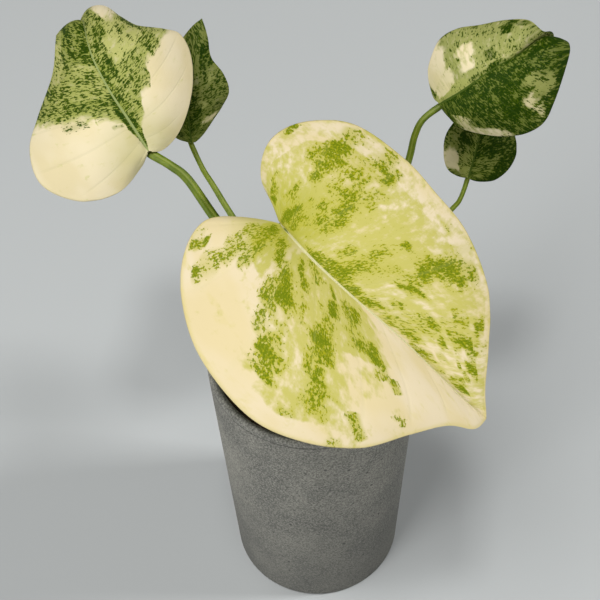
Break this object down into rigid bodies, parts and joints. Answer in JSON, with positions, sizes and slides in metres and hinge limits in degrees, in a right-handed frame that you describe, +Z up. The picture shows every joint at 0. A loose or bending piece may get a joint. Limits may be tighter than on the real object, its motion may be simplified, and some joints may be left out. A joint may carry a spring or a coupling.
{
  "type": "potted legacy monstera",
  "caption": "Young variegated monstera with heart-shaped cream and green leaves on long petioles, in a slim round concrete pot.",
  "frame": {"origin": "centre of the pot's flat underside", "axes": "+Z up along the pot's axis, -Y towards the side with the largest leaf's tip, +X to the right seen from there"},
  "size_m": [0.2114, 0.1798, 0.2394],
  "materials": {
    "pot": "matt grey concrete with fine specks and small pores",
    "soil": "crumbly dark potting soil",
    "vine_stem": "smooth green stem with brown rings at the nodes",
    "petiole": "smooth, slightly glossy green",
    "leaf_front": "satin cream and yellow-green, with green specks along the veins",
    "leaf_left": "satin cream lobes, the rest dark green with cream streaks",
    "leaf_back": "satin dark green with pale streaks",
    "leaf_right": "satin dark green with pale and cream streaks",
    "leaf_small": "satin dark green with cream patches"
  },
  "bodies": {
    "root": {"pot": "pot", "soil": "soil", "vine_stem": "vine_stem", "petiole_front": "petiole", "petiole_left": "petiole", "petiole_back": "petiole", "petiole_right": "petiole", "petiole_small": "petiole", "leaf_front": "leaf_front", "leaf_left": "leaf_left", "leaf_back": "leaf_back", "leaf_right": "leaf_right", "leaf_small": "leaf_small"}
  },
  "joints": []
}
